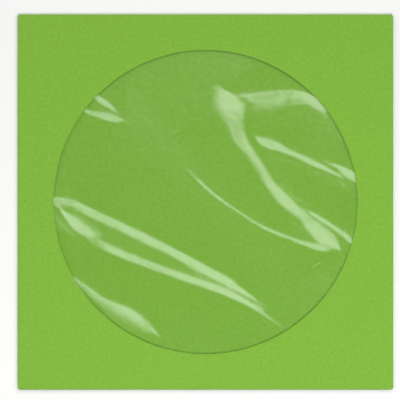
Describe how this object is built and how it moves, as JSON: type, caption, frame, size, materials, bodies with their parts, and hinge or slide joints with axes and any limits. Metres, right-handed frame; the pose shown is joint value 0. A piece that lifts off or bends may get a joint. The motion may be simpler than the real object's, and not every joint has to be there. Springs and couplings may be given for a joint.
{
  "type": "cd sleeve",
  "caption": "Square green paper sleeve for one disc, with a round window of clear wrinkled film on the front and a tucked-down closing flap behind.",
  "frame": {"origin": "middle of the sleeve's outline, on the surface that it lies on", "axes": "+Z out of the window side and up, +Y towards the flap's fold, which is the top of the picture, +X to the right of the picture"},
  "size_m": [0.124, 0.124, 0.0012],
  "materials": {
    "paper": "matt uncoated envelope paper, dyed right through",
    "film": "clear glossy wrinkled film",
    "gum": "thin dried adhesive"
  },
  "bodies": {
    "root": {"paper_envelope": "paper", "window_film": "film", "window_gum": "gum", "seam_gum_left": "gum", "seam_gum_right": "gum"}
  },
  "joints": []
}
